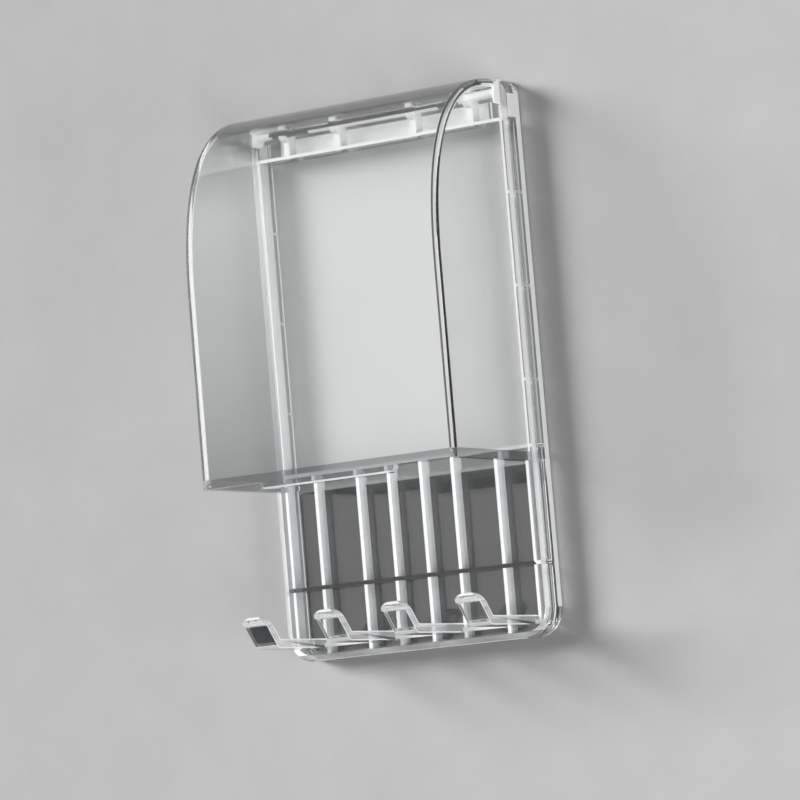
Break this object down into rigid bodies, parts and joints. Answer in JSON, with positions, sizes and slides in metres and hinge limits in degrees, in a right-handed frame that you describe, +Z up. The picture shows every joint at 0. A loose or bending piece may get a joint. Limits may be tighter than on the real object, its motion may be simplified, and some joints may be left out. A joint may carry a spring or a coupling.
{
  "type": "waterproof wall socket cover",
  "caption": "Clear hinged splash hood over an open socket window, on a wall base with a ribbed bay and cord hooks below.",
  "frame": {"origin": "on the wall behind the adhesive pad, at the middle of the ribbed bay", "axes": "+Z up the wall, +X to the right as seen from the room, +Y into the wall, so the cover stands out towards -Y"},
  "size_m": [0.0954, 0.0528, 0.1721],
  "materials": {
    "clear_plastic": "clear, polished",
    "grey_foam": "dark grey acrylic foam tape, matt"
  },
  "bodies": {
    "base": {"base_frame": "clear_plastic", "adhesive_pad": "grey_foam"},
    "hood": {"hood": "clear_plastic"}
  },
  "joints": [
    {"name": "hood_hinge", "type": "hinge", "parent": "base", "child": "hood", "pos_m": [0, -0.0073, 0.13595], "axis": [-1, 0, 0], "range_deg": [0, 100]}
  ]
}
